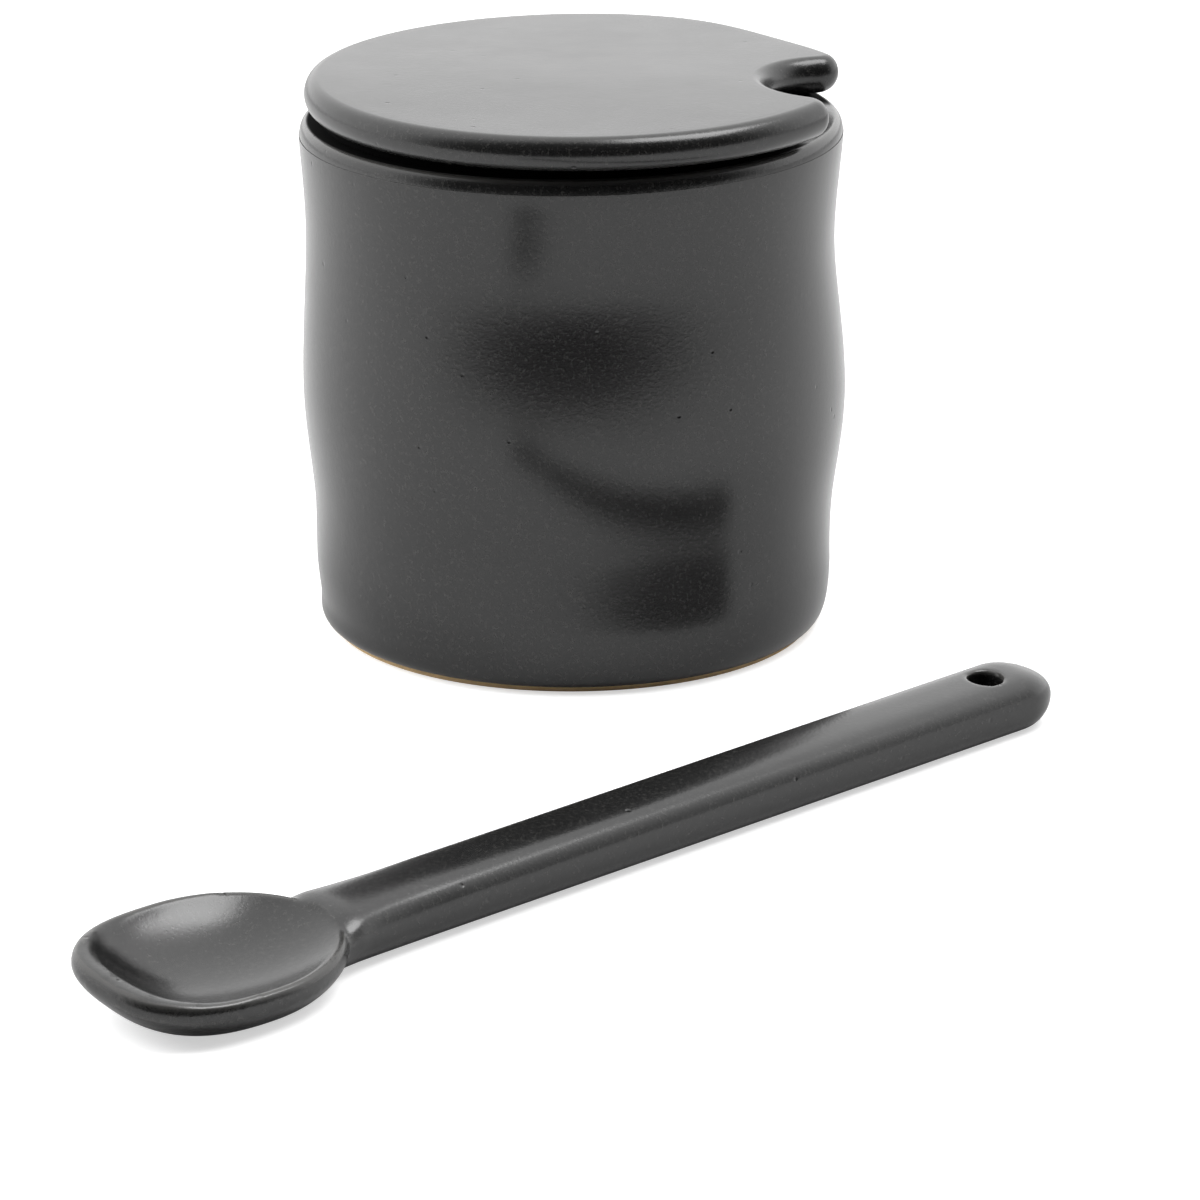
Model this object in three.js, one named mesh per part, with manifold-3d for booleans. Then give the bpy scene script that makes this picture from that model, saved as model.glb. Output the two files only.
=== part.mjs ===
// Hand-built stoneware condiment jar: a pot, a loose lid with a bite out of its edge, and a spoon beside it.
// Millimetres, +Z up. The origin is the middle of the jar's foot, on the table.
// The jar is seen from -Y, and the bite in the lid points roughly along +X.
import * as THREE from "three";
import { mergeVertices } from "three/addons/utils/BufferGeometryUtils.js";
import Module from "manifold-3d";

const wasm = await Module();
wasm.setup();

// Jar, outside
const SEAT_HEIGHT = 78.1; // foot to the narrow seat at the mouth, which carries the lid
const SHOULDER_RADIUS = 40;
const SHOULDER_DROP = 3.6; // seat down to where the shoulder starts to roll in
const SHOULDER_BAND = 1; // upright part of the wall below that
const WAIST_DRAW = 0.7; // how far the waist is drawn in from the shoulder
const WAIST_DROP = 18.8;
const BELLY_SWELL = 0.3; // how far the belly stands out from the shoulder
const BELLY_DROP = 42.1;
const SKIRT_DRAW = 1.1; // how far the lower wall is drawn in from the shoulder
const SKIRT_RISE = 10; // upright part of the lower wall
const FOOT_DRAW = 3.8; // how far the foot is drawn in from the shoulder
const FOOT_HEIGHT = 0.8; // band of bare clay below the glaze
const FOOT_STEP = 0.3; // glaze line standing out from the bare clay
const CORNER_HEIGHT = 9; // table to the top of the round between foot and wall

// Jar, rim and inside
const WALL = 4;
const FLOOR = 6;
const FLOOR_ROUND = 9; // round between the floor and the wall inside
const CREST_INSET = 1.4; // shoulder in to the rim's flat ledge
const CREST_DROP = 1.1; // ledge up to the seat, which leaves a dark gap under the lid's edge
const MOUTH_INSET = 4.4; // shoulder in to the mouth, wide enough for the handle beside the pushed-back lid
const SEAT_STEP = 0.3; // how far the rise from ledge to seat leans
const SEAT_WIDTH = 0.3; // flat of the seat
const MOUTH_ROUND = 0.4;
const SEAT_TILT = 0.4; // degrees; the rim was finished by hand, and its notch side is higher

// Lid
const LID_OVERHANG = 0.8; // lid edge past the shoulder
const LID_THICKNESS = 5.7;
const LID_EDGE_ROUND = 3; // lower edge
const LID_TOP_ROUND = 2.2; // edge in to the flat of the top; the side leans in as it rises
const LID_FRONT_FALL = 0.6; // the plate is this much thinner at its front edge
const LID_SHIFT = 2.3; // the loose lid lies this far off the middle
const LID_SHIFT_ANGLE = -41; // degrees from +X
const SEAT_GAP = 0.3;
const NOTCH_ANGLE = -8; // degrees from +X
const NOTCH_RADIUS = 11.9;
const NOTCH_DEPTH = 13.6; // lid edge in to the bottom of the notch
const HORN_RADIUS = 4.2; // round corners either side of the notch
const FLAT_DEPTH = 3.4; // the hand-cut edge is flatter beside the notch, on the far side
const FLAT_ANGLE = 44; // degrees from the notch
const FLAT_SPREAD = 24;
const FLANGE_HEIGHT = 5; // ring under the lid that keeps it over the mouth
const FLANGE_WALL = 3.2;
const FLANGE_PLAY = 0.5;

// Spoon bowl
const BOWL_TIP_LENGTH = 18.1; // bowl centre to the tip, outside
const BOWL_NECK_LENGTH = 18.5; // bowl centre to the neck, outside
const BOWL_HALF_WIDTH = 13.9;
const BOWL_BLUNTNESS = 2.65; // exponent of the tip's outline; 2 is an ellipse
const BOWL_HEIGHT = 7.2;
const BOWL_TIP_LIFT = 0.2; // the rim rises this much at the tip
const BOWL_RISE = 0.3; // the whole bowl rises this much towards its tip
const BOWL_TWIST = 2.6; // degrees that the bowl leans further over than the handle
const BOWL_BASE_WIDTH = 7; // flat of the underside
const BOWL_BASE_SHIFT = 0.8; // the flat lies this far from the bowl's centre, towards the neck
const BOWL_FULLNESS = 0.86; // towards 1 the underside is flatter and its walls steeper
const BOWL_LIP = 1.3; // width of the lip along the sides
const BOWL_TIP_LIP = 2.9; // width of the lip at the tip
const BOWL_EDGE_ROUND = 1.1; // outer edge in to the top of the lip; the round is twice as tall
const BOWL_FLOOR = 3.2;
const DISH_SHIFT = 5; // the deepest point lies this far from the bowl's centre, towards the tip
const DISH_FULLNESS = 0.6; // 0.5 is a parabola; towards 1 the floor is flatter and the walls steeper

// Spoon handle
const SPOON_LENGTH = 171;
const HANDLE_WIDTH = 11.9;
const HANDLE_THICKNESS = 8.2;
const NECK_SQUARENESS = 2.6; // exponent of the section near the bowl; 2 is an ellipse
const END_SQUARENESS = 3.2; // exponent of the flatter section at the end
const NECK_FLARE = 4.1; // half width added to the handle's top where it joins the bowl
const NECK_REACH = 6.5; // length of that flare
const NECK_DIP = 1.8; // how far the handle's top dips where it runs into the bowl
const HANDLE_END_ROUND = 7.5;
const HOLE_DIAMETER = 5;
const HOLE_FROM_END = 12;
const SPOON_ROLL = 5; // degrees; it lies a little over on its side
const SPOON_BED = 0.6; // depth of the flat that it was dried on

// Where the spoon lies
const SPOON_ANGLE = 43.2; // degrees from +X
const SPOON_GAP = 38.2; // shoulder out to the spoon's centre line
const SPOON_SETBACK = 134.8; // bowl centre back from the point of the spoon's line nearest the jar

// Soft hollows of the hand-made wall, as its outline shows them; a negative depth is a swelling
const WALL_HOLLOWS = [
  { angle: -90, height: 59, depth: 0.6, length: 17, breadth: 12 },
  { angle: -66, height: 18, depth: 0.25, length: 14, breadth: 8 },
  { angle: 2, height: 58, depth: 0.4, length: 14, breadth: 10 },
  { angle: 0, height: 34, depth: -0.6, length: 24, breadth: 16 },
  { angle: 180, height: 22, depth: 0.4, length: 24, breadth: 22 },
  { angle: -165, height: 4.5, depth: 0.65, length: 30, breadth: 5.5 },
];

// Fineness of the faces
const JAR_SEGMENTS = 64;
const LID_SEGMENTS = 72;
const BOWL_SEGMENTS = 40;
const SECTION_POINTS = 24;

const radians = THREE.MathUtils.degToRad;
const smooth = THREE.MathUtils.smoothstep;
const footRadius = SHOULDER_RADIUS - FOOT_DRAW;
const mouthRadius = SHOULDER_RADIUS - MOUTH_INSET;
const waistHeight = SEAT_HEIGHT - WAIST_DROP;
const shoulderHeight = SEAT_HEIGHT - SHOULDER_DROP;
const lidRadius = SHOULDER_RADIUS + LID_OVERHANG;
const lidEdge = Math.min(LID_EDGE_ROUND, 0.6 * LID_THICKNESS);
const notchReach = lidRadius - NOTCH_DEPTH + NOTCH_RADIUS; // lid centre out to the notch's centre

const glaze = new THREE.MeshStandardMaterial({ color: 0x35363a, roughness: 0.42, metalness: 0 });

// Solids: a closed geometry as a manifold-3d solid, and back again
function solidOf(geometry) {
  const loose = geometry.index ? geometry.toNonIndexed() : geometry;
  const bare = new THREE.BufferGeometry().setAttribute("position", loose.getAttribute("position"));
  const merged = mergeVertices(bare);
  const vertProperties = new Float32Array(merged.attributes.position.array);
  const triVerts = new Uint32Array(merged.index.array);
  return new wasm.Manifold(new wasm.Mesh({ numProp: 3, vertProperties, triVerts }));
}

function geometryOf(solid) {
  const mesh = solid.getMesh();
  const geometry = new THREE.BufferGeometry();
  geometry.setAttribute("position", new THREE.BufferAttribute(mesh.vertProperties, mesh.numProp));
  geometry.setIndex(new THREE.BufferAttribute(mesh.triVerts, 1));
  geometry.computeVertexNormals();
  return geometry;
}

// A profile of radius and height turned about Z
function turned(profile, segments) {
  return new THREE.LatheGeometry(profile, segments).rotateX(Math.PI / 2);
}

// Moves every vertex of a geometry by a function of its position
function reshape(geometry, move) {
  const position = geometry.getAttribute("position");
  const point = new THREE.Vector3();
  for (let i = 0; i < position.count; i++) {
    move(point.fromBufferAttribute(position, i));
    position.setXYZ(i, point.x, point.y, point.z);
  }
  return geometry;
}

// A closed skin over a row of rings that all have the same number of points
function loft(rings) {
  const around = rings[0].length;
  const first = rings[0].reduce((sum, p) => sum.add(p), new THREE.Vector3()).divideScalar(around);
  const last = rings.at(-1).reduce((sum, p) => sum.add(p), new THREE.Vector3()).divideScalar(around);
  const points = [...rings.flat(), first, last];
  const firstCentre = points.length - 2;
  const lastCentre = points.length - 1;
  const lastRing = (rings.length - 1) * around;
  const faces = [];
  for (let j = 0; j < around; j++) {
    const next = (j + 1) % around;
    for (let i = 0; i < rings.length - 1; i++) {
      const a = i * around;
      const b = a + around;
      faces.push(a + j, b + next, b + j, a + j, a + next, b + next);
    }
    faces.push(firstCentre, next, j, lastCentre, lastRing + j, lastRing + next);
  }
  return new THREE.BufferGeometry().setFromPoints(points).setIndex(faces);
}

// Jar
function jarProfile() {
  const wall = (draw, height) => new THREE.Vector2(SHOULDER_RADIUS - draw, height);
  const crest = wall(CREST_INSET, SEAT_HEIGHT - CREST_DROP);
  const seatEdge = new THREE.Vector2(mouthRadius + MOUTH_ROUND + SEAT_WIDTH, SEAT_HEIGHT);
  const outer = [
    wall(SKIRT_DRAW, CORNER_HEIGHT),
    wall(SKIRT_DRAW, CORNER_HEIGHT + SKIRT_RISE),
    wall(-BELLY_SWELL, SEAT_HEIGHT - BELLY_DROP),
    wall(WAIST_DRAW, waistHeight),
    wall(0, shoulderHeight - SHOULDER_BAND),
    wall(0, shoulderHeight),
  ];
  const inner = [
    wall(WAIST_DRAW + WALL, waistHeight),
    wall(WALL - BELLY_SWELL, SEAT_HEIGHT - BELLY_DROP),
    wall(SKIRT_DRAW + WALL, FLOOR + FLOOR_ROUND),
  ];
  const innerSkirt = inner[2].x;

  const outline = new THREE.Path();
  outline.moveTo(0, 0);
  outline.lineTo(footRadius, 0);
  outline.lineTo(footRadius, FOOT_HEIGHT);
  outline.lineTo(footRadius + FOOT_STEP, FOOT_HEIGHT);
  outline.quadraticCurveTo(outer[0].x, FOOT_HEIGHT, outer[0].x, outer[0].y);
  outline.splineThru(outer.slice(1));
  outline.quadraticCurveTo(SHOULDER_RADIUS, crest.y, crest.x, crest.y);
  outline.lineTo(seatEdge.x + SEAT_STEP, crest.y);
  outline.lineTo(seatEdge.x, seatEdge.y);
  outline.lineTo(mouthRadius + MOUTH_ROUND, SEAT_HEIGHT);
  outline.quadraticCurveTo(mouthRadius, SEAT_HEIGHT, mouthRadius, SEAT_HEIGHT - MOUTH_ROUND);
  outline.splineThru(inner);
  outline.quadraticCurveTo(innerSkirt, FLOOR, innerSkirt - FLOOR_ROUND, FLOOR);
  outline.lineTo(0, FLOOR);
  return outline.getPoints(3);
}

function hollowDepth(angle, height) {
  let depth = 0;
  for (const hollow of WALL_HOLLOWS) {
    const away = angle - radians(hollow.angle);
    const across = Math.atan2(Math.sin(away), Math.cos(away)) * SHOULDER_RADIUS;
    const up = height - hollow.height;
    depth += hollow.depth * Math.exp(-((across / hollow.length) ** 2) - (up / hollow.breadth) ** 2);
  }
  return depth;
}

function makeJar() {
  const jar = turned(jarProfile(), JAR_SEGMENTS);
  return reshape(jar, (p) => {
    const radius = Math.hypot(p.x, p.y);
    const onWall = smooth(radius, footRadius - 2 * WALL, footRadius - WALL);
    const aboveFoot = smooth(p.z, FOOT_HEIGHT, CORNER_HEIGHT / 2);
    const belowRim = 1 - smooth(p.z, shoulderHeight - WALL, SEAT_HEIGHT);
    const depth = hollowDepth(Math.atan2(p.y, p.x), p.z) * onWall * aboveFoot * belowRim;
    const scale = radius > 0 ? 1 - depth / radius : 1;
    p.x *= scale;
    p.y *= scale;
    p.z += p.x * Math.tan(radians(SEAT_TILT)) * smooth(p.z, waistHeight, shoulderHeight);
  });
}

// Lid
function arcPoints(centre, radius, from, to, steps) {
  const arc = new THREE.EllipseCurve(centre.x, centre.y, radius, radius, from, to, to < from);
  return arc.getPoints(steps);
}

// Edge of the lid seen from above, with the notch along +X
function lidOutline() {
  const notchCentre = new THREE.Vector2(notchReach, 0);
  const hornReach = lidRadius - HORN_RADIUS;
  const hornToNotch = NOTCH_RADIUS + HORN_RADIUS;
  const hornX = (hornReach ** 2 + notchReach ** 2 - hornToNotch ** 2) / (2 * notchReach);
  const horn = new THREE.Vector2(hornX, Math.sqrt(hornReach ** 2 - hornX ** 2));
  const mirrored = new THREE.Vector2(horn.x, -horn.y);
  const edgeAngle = horn.angle();
  const notchAngle = horn.clone().sub(notchCentre).angle();
  const turn = 2 * Math.PI;
  const rim = arcPoints(new THREE.Vector2(), lidRadius, edgeAngle, turn - edgeAngle, LID_SEGMENTS);
  const lowerHorn = arcPoints(mirrored, HORN_RADIUS, -edgeAngle, Math.PI - notchAngle, 8);
  const notch = arcPoints(notchCentre, NOTCH_RADIUS, turn - notchAngle, notchAngle, 18);
  const upperHorn = arcPoints(horn, HORN_RADIUS, notchAngle - Math.PI, edgeAngle, 8);
  const outline = [rim, lowerHorn, notch, upperHorn].flatMap((points) => points.slice(0, -1));
  return outline.map((p) => {
    const away = (THREE.MathUtils.radToDeg(p.angle()) - FLAT_ANGLE) / FLAT_SPREAD;
    return p.multiplyScalar(1 - (FLAT_DEPTH / lidRadius) * Math.exp(-(away ** 2)));
  });
}

function lidFlange() {
  const outer = mouthRadius - LID_SHIFT - FLANGE_PLAY;
  const inner = outer - FLANGE_WALL;
  const chamfer = FLANGE_WALL / 4;
  const sunk = LID_THICKNESS / 2; // the ring runs up into the plate
  const corners = [
    [inner, sunk],
    [inner, chamfer - FLANGE_HEIGHT],
    [inner + chamfer, -FLANGE_HEIGHT],
    [outer - chamfer, -FLANGE_HEIGHT],
    [outer, chamfer - FLANGE_HEIGHT],
    [outer, sunk],
    [inner, sunk],
  ];
  const ring = turned(corners.map(([r, z]) => new THREE.Vector2(r, z)), JAR_SEGMENTS);
  const biteRadius = NOTCH_RADIUS + lidEdge;
  const bite = new THREE.CylinderGeometry(biteRadius, biteRadius, 4 * (FLANGE_HEIGHT + LID_THICKNESS), 48);
  bite.rotateX(Math.PI / 2).translate(notchReach, 0, 0);
  return solidOf(ring).subtract(solidOf(bite));
}

// The lid's outline raised from one height to another, with edges rounded so far inwards and upwards
function lidPlate(low, high, inwards, upwards) {
  const plate = new THREE.ExtrudeGeometry(new THREE.Shape(lidOutline()), {
    depth: high - low - 2 * upwards,
    bevelThickness: upwards,
    bevelSize: inwards,
    bevelOffset: -inwards,
    bevelSegments: 5,
  });
  return solidOf(plate.translate(0, 0, low + upwards));
}

function makeLid() {
  const below = lidPlate(0, 3 * LID_THICKNESS, lidEdge, lidEdge);
  const above = lidPlate(-2 * LID_THICKNESS, LID_THICKNESS, LID_TOP_ROUND, LID_THICKNESS - lidEdge);
  const whole = geometryOf(below.intersect(above).add(lidFlange()));
  return reshape(whole, (p) => {
    p.z -= LID_FRONT_FALL * smooth(-p.y, 0, lidRadius) * Math.max(0, p.z / LID_THICKNESS);
  });
}

// Spoon
// Turns a round profile, whose radius runs to 1, into the bowl's egg shape less a lip, its middle shifted
function eggShaped(profile, lip, tipLip, shift) {
  return reshape(turned(profile, BOWL_SEGMENTS), (p) => {
    const radius = Math.hypot(p.x, p.y);
    const angle = Math.atan2(p.y, p.x);
    const power = 2 / (Math.cos(angle) < 0 ? BOWL_BLUNTNESS : 2);
    const reach = Math.cos(angle) < 0 ? BOWL_TIP_LENGTH - tipLip : BOWL_NECK_LENGTH - lip;
    const across = BOWL_HALF_WIDTH - lip;
    p.x = radius * reach * Math.sign(Math.cos(angle)) * Math.abs(Math.cos(angle)) ** power;
    p.x += shift * (1 - radius);
    p.y = radius * across * Math.sign(Math.sin(angle)) * Math.abs(Math.sin(angle)) ** power;
    p.z *= 1 + (BOWL_TIP_LIFT / BOWL_HEIGHT) * Math.max(0, -p.x / BOWL_TIP_LENGTH) ** 2;
    p.z += BOWL_RISE * smooth(-p.x, -BOWL_NECK_LENGTH / 3, BOWL_TIP_LENGTH);
    p.z += p.y * Math.tan(radians(BOWL_TWIST));
  });
}

function bowlHull() {
  const outline = new THREE.Path();
  const lipShare = 1 - BOWL_EDGE_ROUND / BOWL_HALF_WIDTH;
  outline.moveTo(0, 0);
  outline.lineTo(BOWL_BASE_WIDTH / 2 / BOWL_HALF_WIDTH, 0);
  outline.quadraticCurveTo(BOWL_FULLNESS, 0, 1, BOWL_HEIGHT - 2 * BOWL_EDGE_ROUND);
  outline.quadraticCurveTo(1, BOWL_HEIGHT, lipShare, BOWL_HEIGHT);
  outline.lineTo(0, BOWL_HEIGHT);
  return solidOf(eggShaped(outline.getPoints(6), 0, 0, BOWL_BASE_SHIFT));
}

function bowlDish() {
  const depth = BOWL_HEIGHT - BOWL_FLOOR;
  const outline = new THREE.Path();
  outline.moveTo(0, BOWL_FLOOR);
  outline.quadraticCurveTo(DISH_FULLNESS, BOWL_FLOOR, 1, BOWL_HEIGHT);
  outline.lineTo(1, BOWL_HEIGHT + depth);
  outline.lineTo(0, BOWL_HEIGHT + depth);
  return solidOf(eggShaped(outline.getPoints(8), BOWL_LIP, BOWL_TIP_LIP, -DISH_SHIFT));
}

// One section of the handle, x from the bowl's centre: a soft rectangle standing on the table, its top flared
function handleSection(x, flare, thickness, squareness, shrink) {
  const points = [];
  const softened = (value) => Math.sign(value) * Math.abs(value) ** (2 / squareness);
  for (let j = 0; j < SECTION_POINTS; j++) {
    const angle = (2 * Math.PI * j) / SECTION_POINTS;
    const height = (1 + shrink * softened(Math.sin(angle))) / 2;
    const across = shrink * (HANDLE_WIDTH / 2 + flare * height) * softened(Math.cos(angle));
    points.push(new THREE.Vector3(x, across, thickness * height));
  }
  return points;
}

function makeHandle(end) {
  const start = BOWL_NECK_LENGTH - NECK_REACH;
  const rings = [];
  const straight = 20;
  const rounded = 6;
  for (let i = 0; i <= straight + rounded; i++) {
    const along = Math.min(i / straight, 1) ** 1.4;
    const turn = (Math.max(i - straight, 0) / rounded) * 0.47 * Math.PI; // stops just short of a point
    const x = start + along * (end - HANDLE_END_ROUND - start) + HANDLE_END_ROUND * Math.sin(turn);
    const flare = NECK_FLARE * Math.exp(-((x - start) / NECK_REACH));
    const dip = NECK_DIP * (1 - smooth(x, start, BOWL_NECK_LENGTH + NECK_REACH / 3));
    const straightness = THREE.MathUtils.lerp(NECK_SQUARENESS, END_SQUARENESS, along);
    const squareness = THREE.MathUtils.lerp(straightness, 2, Math.sin(turn)); // the very end is round
    const thickness = HANDLE_THICKNESS - dip;
    rings.push(handleSection(x, flare, thickness, squareness, Math.cos(turn)));
  }
  return solidOf(loft(rings));
}

function makeSpoon() {
  const end = SPOON_LENGTH - BOWL_TIP_LENGTH;
  const hole = new THREE.CylinderGeometry(HOLE_DIAMETER / 2, HOLE_DIAMETER / 2, 4 * HANDLE_THICKNESS, 24);
  hole.rotateX(Math.PI / 2).translate(end - HOLE_FROM_END, 0, 0);
  const whole = bowlHull().add(makeHandle(end)).subtract(bowlDish()).subtract(solidOf(hole));
  const rolled = geometryOf(whole).rotateX(radians(SPOON_ROLL));
  rolled.computeBoundingBox();
  const bed = rolled.boundingBox.min.z + SPOON_BED;
  const table = new THREE.BoxGeometry(4 * SPOON_LENGTH, 4 * SPOON_LENGTH, SPOON_LENGTH);
  table.translate(0, 0, bed - SPOON_LENGTH / 2);
  return geometryOf(solidOf(rolled).subtract(solidOf(table))).translate(0, 0, -bed);
}

// Assembly
const object = new THREE.Group();

const jar = new THREE.Mesh(makeJar(), glaze);
jar.name = "jar";
object.add(jar);

const seat = new THREE.Group();
seat.position.z = SEAT_HEIGHT + SEAT_GAP;
seat.rotation.y = -radians(SEAT_TILT);
object.add(seat);

const lid = new THREE.Mesh(makeLid(), glaze);
lid.name = "lid";
lid.rotation.z = radians(NOTCH_ANGLE);
lid.position.setX(LID_SHIFT).applyAxisAngle(new THREE.Vector3(0, 0, 1), radians(LID_SHIFT_ANGLE));
seat.add(lid);

const spoonLine = new THREE.Group();
spoonLine.rotation.z = radians(SPOON_ANGLE);
object.add(spoonLine);

const spoon = new THREE.Mesh(makeSpoon(), glaze);
spoon.name = "spoon";
spoon.position.set(-SPOON_SETBACK, -(SHOULDER_RADIUS + SPOON_GAP), 0);
spoonLine.add(spoon);

export default object;
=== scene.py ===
"""Looks of a lidded stoneware jar and its spoon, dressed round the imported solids, in metres."""
import logging
import math
from dataclasses import dataclass
from enum import Enum

import bmesh
import bpy
import numpy as np
from mathutils import Matrix


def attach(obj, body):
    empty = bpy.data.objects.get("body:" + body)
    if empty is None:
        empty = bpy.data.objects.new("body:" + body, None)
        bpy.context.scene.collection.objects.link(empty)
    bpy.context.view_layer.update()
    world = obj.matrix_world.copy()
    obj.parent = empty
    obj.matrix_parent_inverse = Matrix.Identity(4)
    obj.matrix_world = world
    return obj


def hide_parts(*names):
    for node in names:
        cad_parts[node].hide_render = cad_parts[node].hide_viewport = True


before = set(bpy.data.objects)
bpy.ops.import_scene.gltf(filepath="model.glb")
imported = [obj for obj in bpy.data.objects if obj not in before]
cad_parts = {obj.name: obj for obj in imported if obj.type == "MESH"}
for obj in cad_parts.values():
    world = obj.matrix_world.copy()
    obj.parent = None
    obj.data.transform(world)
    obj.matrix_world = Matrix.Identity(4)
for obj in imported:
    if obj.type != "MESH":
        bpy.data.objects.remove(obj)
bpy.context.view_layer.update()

MM = 0.001
SPLINE_STEPS = 24
ROUND_STEPS = 8
SHARP_DEGREES = 50
WIPE_FACTOR = 0.5
log = logging.getLogger("jar_with_spoon")


def linear(hex_colour: str) -> tuple[float, float, float, float]:
    """Turn an sRGB hex colour into a linear colour.

    Args:
        hex_colour: Six hex digits with a leading hash sign.

    Returns:
        Linear red, green and blue, with an alpha of 1.
    """
    shares = [int(hex_colour[i:i + 2], 16) / 255 for i in (1, 3, 5)]
    red, green, blue = [s / 12.92 if s <= 0.04045 else ((s + 0.055) / 1.055) ** 2.4 for s in shares]
    return (red, green, blue, 1.0)


def add_node(tree: bpy.types.NodeTree, kind: str, settings: dict | None = None,
             links: dict | None = None) -> bpy.types.NodeOutputs:
    """Add one node to a tree.

    Args:
        tree: The tree that gets the node.
        kind: Blender's type name of the node.
        settings: Values by input name, input number or property name.
        links: Output sockets by the name or number of the input that they feed.

    Returns:
        The new node's output sockets.
    """
    node = tree.nodes.new(kind)
    properties = {key: value for key, value in (settings or {}).items() if hasattr(node, str(key))}
    for key, value in properties.items():
        setattr(node, key, value)
    for key, value in (settings or {}).items():
        if key not in properties:
            node.inputs[key].default_value = value
    for key, socket in (links or {}).items():
        tree.links.new(socket, node.inputs[key])
    return node.outputs


def smooth_step(value: np.ndarray, low: float, high: float) -> np.ndarray:
    """Ease from 0 at low to 1 at high.

    Args:
        value: Numbers to ease.
        low: Where the rise starts.
        high: Where the rise ends.

    Returns:
        Eased shares, the same shape as value.
    """
    share = np.clip((value - low) / (high - low), 0, 1)
    return share * share * (3 - 2 * share)


def bend(start: tuple, control: tuple, end: tuple, steps: int = ROUND_STEPS) -> list[tuple]:
    """Follow a quadratic curve from start to end.

    Args:
        start: First point, which is left out of the result.
        control: Point that pulls the curve.
        end: Last point.
        steps: Number of points.

    Returns:
        Points after start, up to end.
    """
    shares = np.linspace(0, 1, steps + 1)[1:]
    a, b, c = np.array(start), np.array(control), np.array(end)
    return [tuple((1 - t) ** 2 * a + 2 * t * (1 - t) * b + t * t * c) for t in shares]


def spline(points: list[tuple], steps: int = SPLINE_STEPS) -> list[tuple]:
    """Follow a smooth curve through every point.

    Args:
        points: Points to pass, the first of which is left out of the result.
        steps: Number of points for each span.

    Returns:
        Points after the first, up to the last.
    """
    ends = np.array([points[0], *points, points[-1]])
    found = []
    for i in range(1, len(points)):
        before, here, there, after = ends[i - 1:i + 3]
        leave, arrive = (there - before) / 2, (after - here) / 2
        for t in np.linspace(0, 1, steps + 1)[1:]:
            cubic = (2 * here - 2 * there + leave + arrive) * t ** 3
            square = (-3 * here + 3 * there - 2 * leave - arrive) * t ** 2
            found.append(tuple(cubic + square + leave * t + here))
    return found


def skin(name: str, rings: list[np.ndarray], first: np.ndarray, last: np.ndarray) -> bpy.types.Object:
    """Close a skin over a row of rings, with a pole at each end.

    Args:
        name: Name of the new object.
        rings: Arrays of points in millimetres, all of one length.
        first: Pole before the first ring.
        last: Pole after the last ring.

    Returns:
        A new object whose faces point outwards.
    """
    around = len(rings[0])
    points = np.vstack([*rings, [first], [last]]) * MM
    pole = len(points) - 2
    faces = []
    for j in range(around):
        k = (j + 1) % around
        for i in range(len(rings) - 1):
            low, high = i * around, (i + 1) * around
            faces.append((low + j, low + k, high + k, high + j))
        end = (len(rings) - 1) * around
        faces += [(pole, k, j), (pole + 1, end + j, end + k)]
    mesh = bpy.data.meshes.new(name)
    mesh.from_pydata(points.tolist(), [], faces)
    return with_outward_faces(add_object(name, mesh))


def turned(name: str, profile: list[tuple], segments: int) -> bpy.types.Object:
    """Turn a profile that starts and ends on the axis about Z.

    Args:
        name: Name of the new object.
        profile: Radius and height of each point, in millimetres.
        segments: Number of steps round the axis.

    Returns:
        The turned object.
    """
    angles = np.linspace(0, 2 * math.pi, segments, endpoint=False)
    rings = [np.column_stack([r * np.cos(angles), r * np.sin(angles), np.full(segments, z)])
             for r, z in profile[1:-1]]
    return skin(name, rings, np.array([0, 0, profile[0][1]]), np.array([0, 0, profile[-1][1]]))


def add_object(name: str, mesh: bpy.types.Mesh) -> bpy.types.Object:
    """Link a mesh into the scene as a new object at the origin."""
    piece = bpy.data.objects.new(name, mesh)
    bpy.context.scene.collection.objects.link(piece)
    return piece


def with_outward_faces(piece: bpy.types.Object, merge: float = 1e-6) -> bpy.types.Object:
    """Merge doubles and turn every face of a closed piece outwards.

    Args:
        piece: The object to tidy.
        merge: Distance in metres under which points are one.

    Returns:
        The same object.
    """
    work = bmesh.new()
    work.from_mesh(piece.data)
    bmesh.ops.remove_doubles(work, verts=work.verts, dist=merge)
    bmesh.ops.recalc_face_normals(work, faces=work.faces)
    work.to_mesh(piece.data)
    work.free()
    return piece


def points_of(piece: bpy.types.Object) -> np.ndarray:
    """Return the piece's vertices in millimetres, one row each."""
    return np.array([v.co for v in piece.data.vertices], dtype=float) / MM


def move_points(piece: bpy.types.Object, points: np.ndarray) -> None:
    """Set the piece's vertices from rows in millimetres."""
    piece.data.vertices.foreach_set("co", (points * MM).ravel())
    piece.data.update()


def made_plain(piece: bpy.types.Object) -> bpy.types.Object:
    """Replace an object's mesh by what its modifiers make of it, and drop the modifiers.

    Args:
        piece: The object to evaluate.

    Returns:
        The same object with a plain mesh.
    """
    bpy.context.view_layer.update()
    evaluated = piece.evaluated_get(bpy.context.evaluated_depsgraph_get())
    mesh = bpy.data.meshes.new_from_object(evaluated)
    piece.modifiers.clear()
    piece.data = mesh
    return piece


class Cut(Enum):
    """How one solid is combined with another."""

    JOIN = "UNION"
    TAKE = "DIFFERENCE"


def combine(piece: bpy.types.Object, tools: list[tuple[bpy.types.Object, Cut]]) -> bpy.types.Object:
    """Join solids to a piece or take them from it, and delete them.

    Args:
        piece: The closed solid that is kept.
        tools: Other closed solids, each with how it is used.

    Returns:
        The same object with its new mesh.
    """
    for tool, how in tools:
        step = piece.modifiers.new(tool.name, "BOOLEAN")
        step.object, step.operation, step.solver = tool, how.value, "EXACT"
    made_plain(piece)
    for tool, _ in tools:
        bpy.data.objects.remove(tool)
    return piece


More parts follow.
